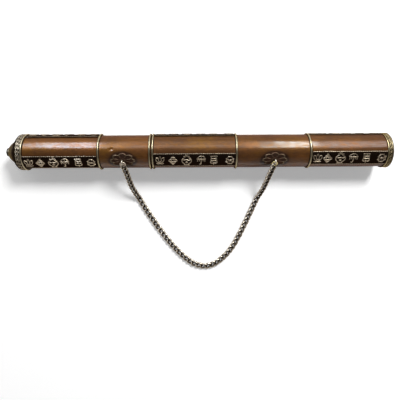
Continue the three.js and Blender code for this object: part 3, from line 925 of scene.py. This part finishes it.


# The second finish is a darker copy for the back strips: less rubbed, and painted shade.
strip_finishes = [
    ("_relief_brass", (0.475, 0.375, 0.265, 1), (0.118, 0.08, 0.053, 1), (0.016, 0.009, 0.006, 1), 0.44),
    ("_back_relief_brass_painted_shade", (0.25, 0.19, 0.13, 1), (0.1, 0.073, 0.048, 1), (0.026, 0.016, 0.011, 1), 0.62),
]
for section, body, x_from, x_to, degrees, places, ground in [
    ("lid", "lid", -166.45, -95.9, 38.2, [-30.0, -18.9, -6.4, 4.8, 17.6, 30.0], 17.3),
    ("mid", "root", -40.8, 37.0, 31.6, [-33.2, -20.8, -7.6, 6.4, 18.4, 33.9], 17.15),
    ("end", "root", 111.1, 182.25, 27, [-30.8, -21.3, -9.0, 3.4, 15.7, 30.4], 16.9),
]:
    front_brass, painted_shade_back_brass = (
        finish(
            section + name,
            brass,
            rubbed_above(
                ground + 0.04, ground + 0.34,
                Rubbed_Brass=rubbed, Dull_Brass=dull, Black_Tarnish=black, Tarnish=tarnish,
            ),
            bump=0.1,
        )
        for name, rubbed, dull, black, tarnish in strip_finishes
    )
    first = relief_strip(section + "_relief_1", x_from, x_to, degrees, places, ground)
    strips = [first]
    for number in (1, 2):
        strip = copied(first)
        strip.name = strip.data.name = f"{section}_relief_{number + 1}"
        take_up(strip)
        bpy.ops.object.mode_set(mode="EDIT")
        bpy.ops.mesh.select_all(action="SELECT")
        turn = math.radians(120 * number)
        bpy.ops.transform.rotate(value=turn, orient_axis="X", center_override=(0, 0, axis_height))
        bpy.ops.object.mode_set(mode="OBJECT")
        strips.append(strip)
    for number, strip in enumerate(strips):
        strip.data.materials.append(front_brass if number == 0 else painted_shade_back_brass)
        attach(strip, body)
        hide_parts(f"{section}_strip_{number + 1}")


# The chain fittings: a flower washer of cupped petals curved to the tube, and a split staple whose
# legs go through it and are bent over inside.
fitting_degrees = 31
washer_half_length = 12.5
washer_half_width = 7.75
washer_petals = 8
washer_rings = 24
washer_wall = 0.4
rim_share = 0.17
boss_share = 0.3


def flower_washer(name, middle):
    """The washer: a disc inset ring by ring, drawn out into petals, thickened and laid on the tube."""
    let_go()
    bpy.ops.mesh.primitive_circle_add(vertices=128, radius=1, fill_type="NGON")
    washer = bpy.context.object
    bpy.ops.object.mode_set(mode="EDIT")
    bpy.ops.mesh.select_all(action="SELECT")
    for _ in range(washer_rings):
        bpy.ops.mesh.inset(thickness=1 / (washer_rings + 1))
    bpy.ops.mesh.poke()
    bpy.ops.object.mode_set(mode="OBJECT")
    for corner in washer.data.vertices:
        reach = math.hypot(corner.co.x, corner.co.y)
        turn = math.atan2(corner.co.y, corner.co.x)
        petal = abs(math.cos(washer_petals * turn / 2))
        lobe = 1 - 0.24 * (1 - petal**0.7) * min(1.0, 1.4 * reach)
        from_rim = max(0.0, (reach - 1 + rim_share) / rim_share)
        rim = 0.6 * math.sin(math.pi * min(1.0, from_rim + 0.08 * (from_rim > 0)))
        rib = 0.42 * math.exp(-((petal / 0.3) ** 2)) * min(1.0, max(0.0, (reach - 0.25) / 0.2))
        boss = 0.55 * math.sqrt(max(0.0, 1 - (reach / boss_share) ** 2))
        corner.co = (
            reach * lobe * washer_half_length * math.cos(turn) * mm,
            reach * lobe * washer_half_width * math.sin(turn) * mm,
            max(rim, rib, boss) * mm,
        )
    note = [c.co.z / mm for c in washer.data.vertices]
    # The rim, ribs and boss are rubbed bright by their height, and the petals grow brighter towards the left
    # and right tips as a painted highlight.
    mark_wear_and_painted_light(washer, lambda corner: note[corner.index] * (0.7 + abs(corner.co.x / mm) / 22) - 0.05)
    lay_round_case(washer, middle, fitting_degrees, ring_bore + washer_wall)
    wall = washer.modifiers.new("wall", "SOLIDIFY")
    wall.thickness = washer_wall * mm
    wall.offset = -1
    bpy.ops.object.modifier_apply(modifier="wall")
    bpy.ops.object.shade_smooth_by_angle(angle=math.radians(50))
    washer.name = washer.data.name = name
    return washer


washer_brass = finish(
    "washer_brass",
    brass,
    wear_and_painted_light_where_marked(
        Rubbed_Brass=(0.42, 0.34, 0.25, 1), Dull_Brass=(0.125, 0.09, 0.055, 1),
        Black_Tarnish=(0.07, 0.036, 0.024, 1), Tarnish=0.48,
    ),
)
eye_height = 20.2
eye_radius = 1.85
staple_thickness = 1.3
leg_depth = 14.6
foot_reach = 3.2
leg_offset = 0.34


def staple(name, middle):
    """The split staple: an eye of round wire whose two legs open out flat inside the tube."""
    eye_turns = 22
    eye = []
    for step in range(eye_turns + 1):
        turn = math.radians(-72 + 324 * step / eye_turns)
        eye.append((0, eye_radius * math.cos(turn), eye_height + eye_radius * math.sin(turn)))
    legs = []
    for side in (-1, 1):
        legs.append(
            [
                (0, side * eye_radius * 0.31, eye_height - eye_radius * 0.95),
                (0, side * leg_offset, eye_height - eye_radius - 0.7), (0, side * leg_offset, 16.6),
                (side * 0.1, side * leg_offset, leg_depth + 0.7), (side * 0.7, side * leg_offset, leg_depth),
                (side * foot_reach, side * leg_offset, leg_depth),
            ]
        )
    loop = wire(name, [(eye, False)], staple_thickness, 1, 3)
    feet = wire(name + "_legs", [(leg, False) for leg in legs], staple_thickness * 0.55, 1, 2)
    pin = joined(name, [loop, feet])
    take_up(pin)
    pin.location = (middle * mm, 0, axis_height)
    pin.rotation_euler = (math.radians(fitting_degrees), 0, 0)
    mark_wear_and_painted_light(pin, lambda corner: 0.2 + (corner.co.z / mm - 17.2) / 4)
    bpy.ops.object.transform_apply(location=True, rotation=True, scale=True)
    return pin


chain_brass = finish(
    "chain_brass",
    brass,
    wear_and_painted_light_where_marked(
        Rubbed_Brass=(0.6, 0.52, 0.42, 1), Dull_Brass=(0.13, 0.097, 0.068, 1),
        Black_Tarnish=(0.016, 0.011, 0.007, 1), Tarnish=0.5,
    ),
)
for side, body, middle in [("lid", "lid", -70.95), ("body", "root", 75.05)]:
    washer = flower_washer(side + "_flower_washer", middle)
    washer.data.materials.append(washer_brass)
    pin = staple(side + "_split_staple", middle)
    pin.data.materials.append(chain_brass)
    for piece, finish_slot, node in [
        (washer, "aged_brass", side + "_rosette"), (pin, "chain_brass", side + "_staple"),
    ]:
        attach(piece, body)
        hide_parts(node)


# The chain: sixty curb links of round wire, twisted to lie flat, from a brass ring in the lid's
# staple down to the table and up to a ring in the body's staple.
link_pitch = 4.86
link_wire = 2.05
link_width = 3.8
link_twist = 0.75
link_turn = math.radians(14)
link_steps = 20
rest_height = 1.25
drape = math.radians(42)
jump_radius = 2.45
jump_wire = 1.1
jump_reach = 2 * jump_radius - jump_wire / 2
run_links = [4, 6, 6, 6, 6, 4, 6, 6, 6, 6, 4]
course_places = [0, 0.08, 0.16, 0.24, 0.32, 0.39, 0.45, 0.5, 0.55, 0.6, 0.66, 0.74, 0.84, 0.92, 1]
course_degrees = [-76, -79, -60, -56, -53, -46.5, -38, -10, 29, 46, 60, 64, 64, 76, 73]
course_opened = 1.0056304
course_turned = 0.0873
fitting_turn = math.radians(fitting_degrees)
eye_y = -eye_height * math.sin(fitting_turn)
eye_z = axis_height / mm + eye_height * math.cos(fitting_turn)
lid_eye = (-70.95, eye_y, eye_z)
body_eye = (75.05, eye_y, eye_z)
link_count = sum(run_links)
chain_drop = eye_z - jump_reach * math.sin(drape) - rest_height
sloping_links = math.ceil(chain_drop / (link_pitch * math.sin(drape)))
slope = math.asin(chain_drop / (sloping_links * link_pitch))


def heading(share):
    """The chain's heading at a share of its length, from the +X direction."""
    for low in range(len(course_places) - 1):
        if share <= course_places[low + 1]:
            part = (share - course_places[low]) / (course_places[low + 1] - course_places[low])
            degrees = course_degrees[low] + part * (course_degrees[low + 1] - course_degrees[low])
            return math.radians(degrees * course_opened + course_turned)


def stepped(place, way, rise, length):
    """The place reached by going a length along a heading and a rise."""
    x, y, z = place
    flat = length * math.cos(rise)
    return (x + flat * math.cos(way), y + flat * math.sin(way), z + length * math.sin(rise))


headings = [heading((i + 0.5) / link_count) for i in range(link_count)]
places = [stepped(lid_eye, headings[0], -drape, jump_reach)]
rises = []
for i, way in enumerate(headings):
    rises.append(-slope if i < sloping_links else slope if i >= link_count - sloping_links else 0)
    places.append(stepped(places[-1], way, rises[-1], link_pitch))

link_length = link_pitch + link_wire
link_line = []
for step in range(link_steps):
    turn = 2 * math.pi * step / link_steps
    link_line.append(
        (link_length / 2 * math.cos(turn), link_width / 2 * math.sin(turn), link_twist * math.sin(2 * turn))
    )
pattern_link = wire("pattern_link", [(link_line, True)], link_wire, 1, 2, False)


def link_wear_and_painted_light(corner):
    """Links are painted black inside and where they touch as painted shade, are rubbed bright on their outer
    sides, and carry a painted highlight on their upper faces and a diagonal swing of painted light and
    shade.
    """
    x, y, z = (c / mm for c in corner.co)
    turn = math.atan2(y / link_width, x / link_length)
    middle = (link_length / 2 * math.cos(turn), link_width / 2 * math.sin(turn))
    outward = (math.hypot(x, y) - math.hypot(*middle)) / (link_wire / 2)
    lifted = (z - link_twist * math.sin(2 * turn)) / (link_wire / 2)
    return 0.2 + 0.55 * outward + 0.3 * max(0, lifted) + 0.22 * math.sin(2 * turn)


mark_wear_and_painted_light(pattern_link, link_wear_and_painted_light)
pattern_link.data.materials.append(chain_brass)
run_of_link = [run for run, count in enumerate(run_links) for _ in range(count)]
sideways_lift, flat_lift = 0.36 * link_width, 0.42
for i in range(link_count):
    link = copied(pattern_link)
    link.name = link.data.name = f"chain_link_{i + 1:02d}"
    take_up(link)
    roll = math.radians(6 + 5 * math.sin(2.3 * i + 1))
    lift = flat_lift + abs(math.sin(roll)) * sideways_lift
    start, end = places[i], places[i + 1]
    link.location = [(a + b) / 2 * mm for a, b in zip(start, end)]
    link.location.z += lift * mm * (1 if rises[i] == 0 else 0.5)
    link.rotation_mode = "XYZ"
    link.rotation_euler = (roll, -rises[i], headings[i] + link_turn)
    bpy.ops.object.transform_apply(location=True, rotation=True, scale=True)
    under_table = min(corner.co.z for corner in link.data.vertices)
    if under_table < 0:
        link.location.z = -under_table
        bpy.ops.object.transform_apply(location=True, rotation=False, scale=False)
    run = f"{run_of_link[i] + 1:02d}"
    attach(link, "chain_" + run)
    if i == 0 or run_of_link[i] != run_of_link[i - 1]:
        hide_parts("chain_run_" + run)
bpy.data.objects.remove(pattern_link)


# The jump rings: open rings of thicker bright brass wire, squeezed shut through each staple's eye
# and the chain's end link.
ring_golds = {
    side: finish(
        side + "_jump_ring_brass",
        brass,
        wear_and_painted_light_where_marked(
            Rubbed_Brass=rubbed, Dull_Brass=dull, Black_Tarnish=(0.06, 0.04, 0.016, 1), Tarnish=0.35,
        ),
    )
    for side, rubbed, dull in [
        ("lid", (0.72, 0.6, 0.48, 1), (0.3, 0.23, 0.16, 1)),
        ("body", (0.8, 0.64, 0.3, 1), (0.4, 0.29, 0.12, 1)),
    ]
}
jump_steps = 30
jump_split = 3
for side, eye, far, body in [
    ("lid", lid_eye, places[0], "lid_ring"), ("body", body_eye, places[-1], "body_ring"),
]:
    pull = [(b - a) / jump_reach for a, b in zip(eye, far)]
    flat_pull = math.hypot(pull[1], pull[2])
    normal = (0, -pull[2] / flat_pull, pull[1] / flat_pull)
    across = (
        pull[1] * normal[2] - pull[2] * normal[1], pull[2] * normal[0] - pull[0] * normal[2],
        pull[0] * normal[1] - pull[1] * normal[0],
    )
    line = []
    for step in range(jump_steps + 1):
        turn = math.radians(200 + jump_split / 2 + (360 - jump_split) * step / jump_steps)
        a, p = jump_radius * math.cos(turn), jump_radius * (1 + math.sin(turn))
        line.append(tuple(eye[k] + a * across[k] + p * pull[k] for k in range(3)))
    ring = wire(side + "_split_ring", [(line, False)], jump_wire, 1, 3)
    mark_wear_and_painted_light(ring, lambda corner: 0.85)
    ring.data.materials.append(ring_golds[side])
    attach(ring, body)
    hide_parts(side + "_jump_ring")
